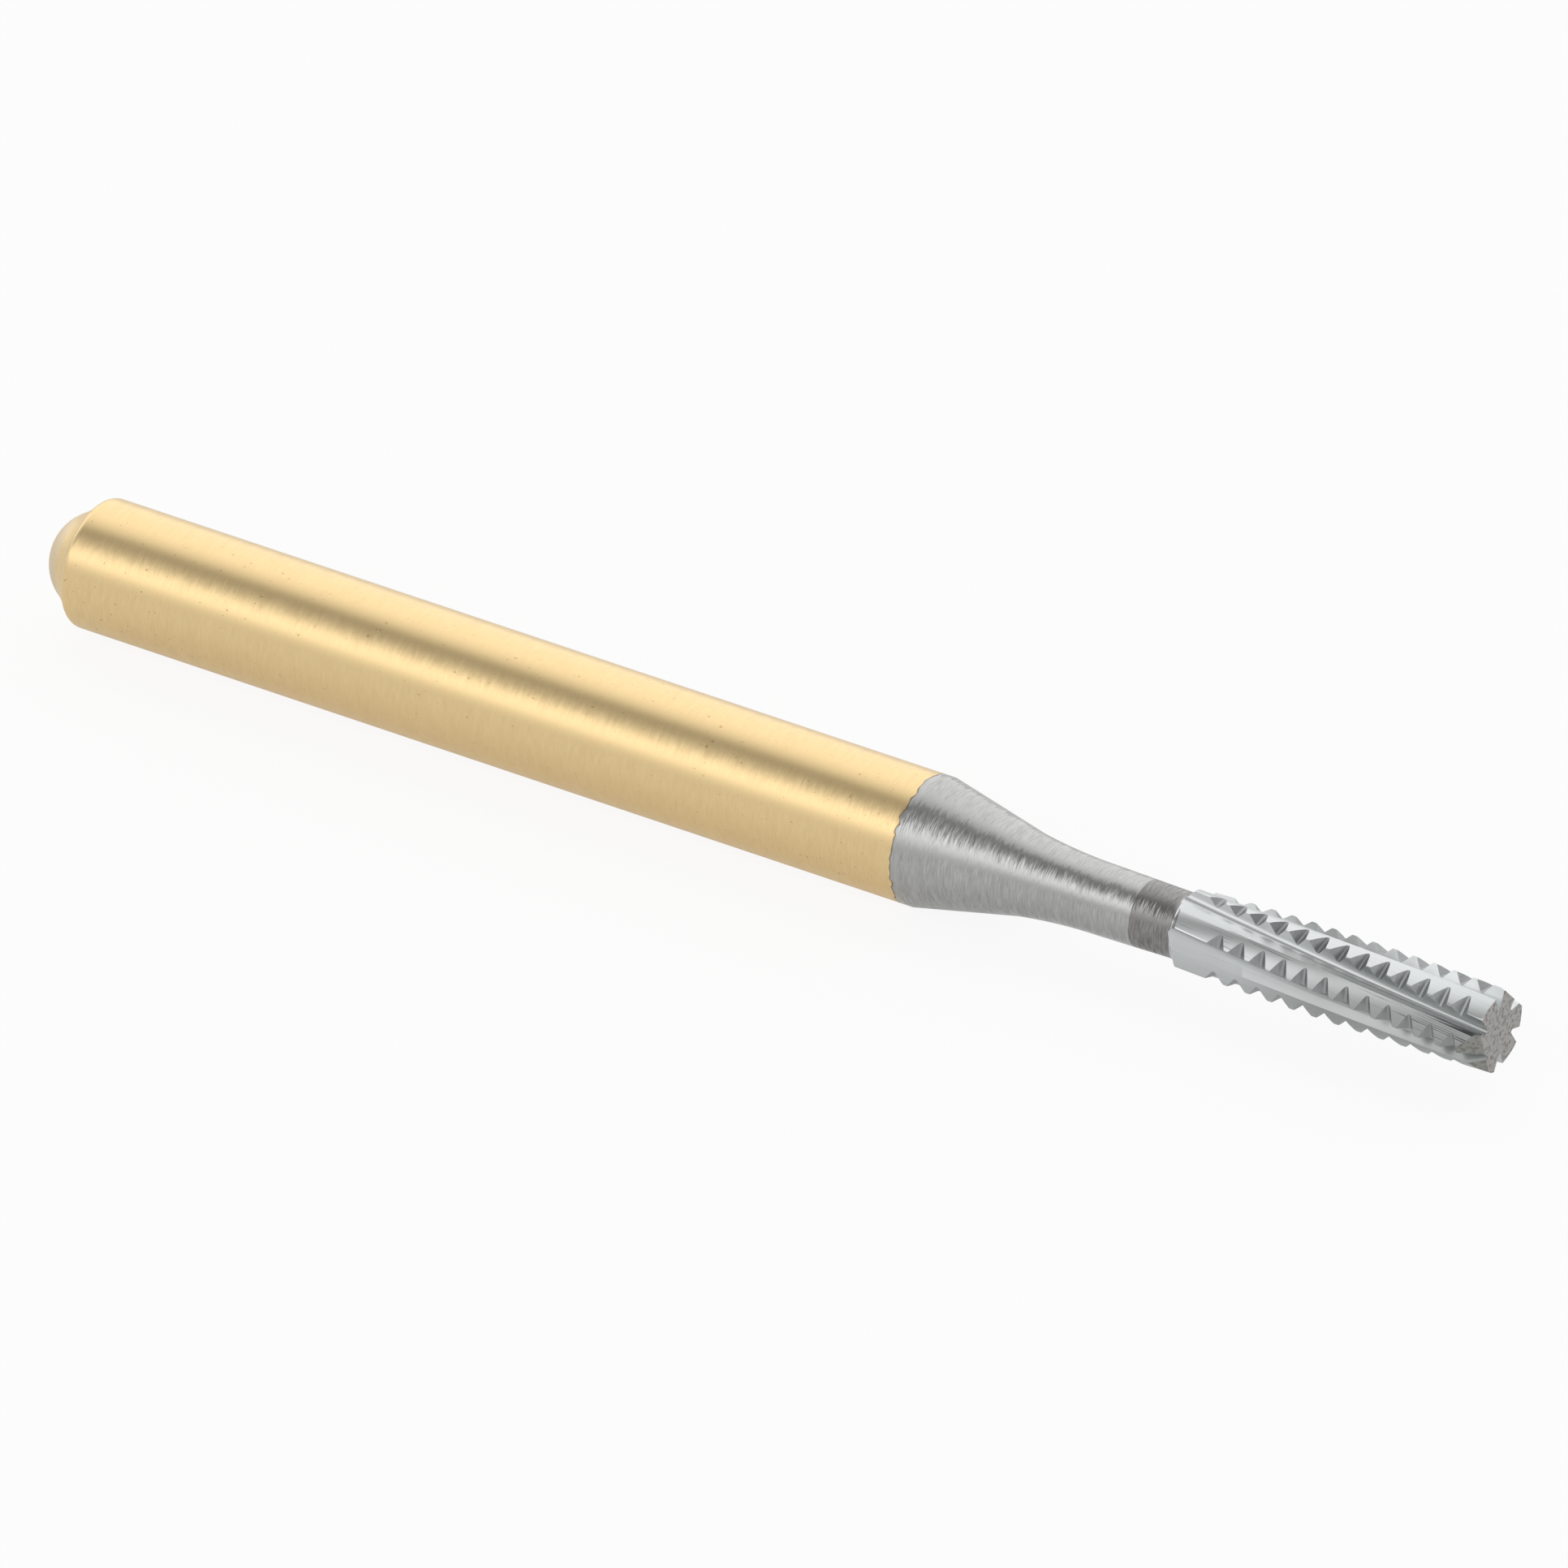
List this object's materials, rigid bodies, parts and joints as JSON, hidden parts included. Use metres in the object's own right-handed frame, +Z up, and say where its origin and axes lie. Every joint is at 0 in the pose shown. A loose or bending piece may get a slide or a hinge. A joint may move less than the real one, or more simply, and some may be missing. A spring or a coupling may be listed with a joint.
{
  "type": "carbide burr",
  "caption": "Small cross-cut carbide burr: a round plated steel shank with a domed end, a thin ground neck and a straight fluted cutting head.",
  "frame": {"origin": "on the burr's axis, at the apex of the shank's domed rear end", "axes": "+X along the burr's axis, from the rear dome to the cutting tip; +Z up"},
  "size_m": [0.02, 0.0016, 0.0016],
  "materials": {
    "plated_shank": "fine brushed gold plating on steel, bare ground steel on the neck",
    "ground_carbide": "bright ground cemented carbide"
  },
  "bodies": {
    "root": {"steel_shank": "plated_shank", "carbide_head": "ground_carbide"}
  },
  "joints": []
}
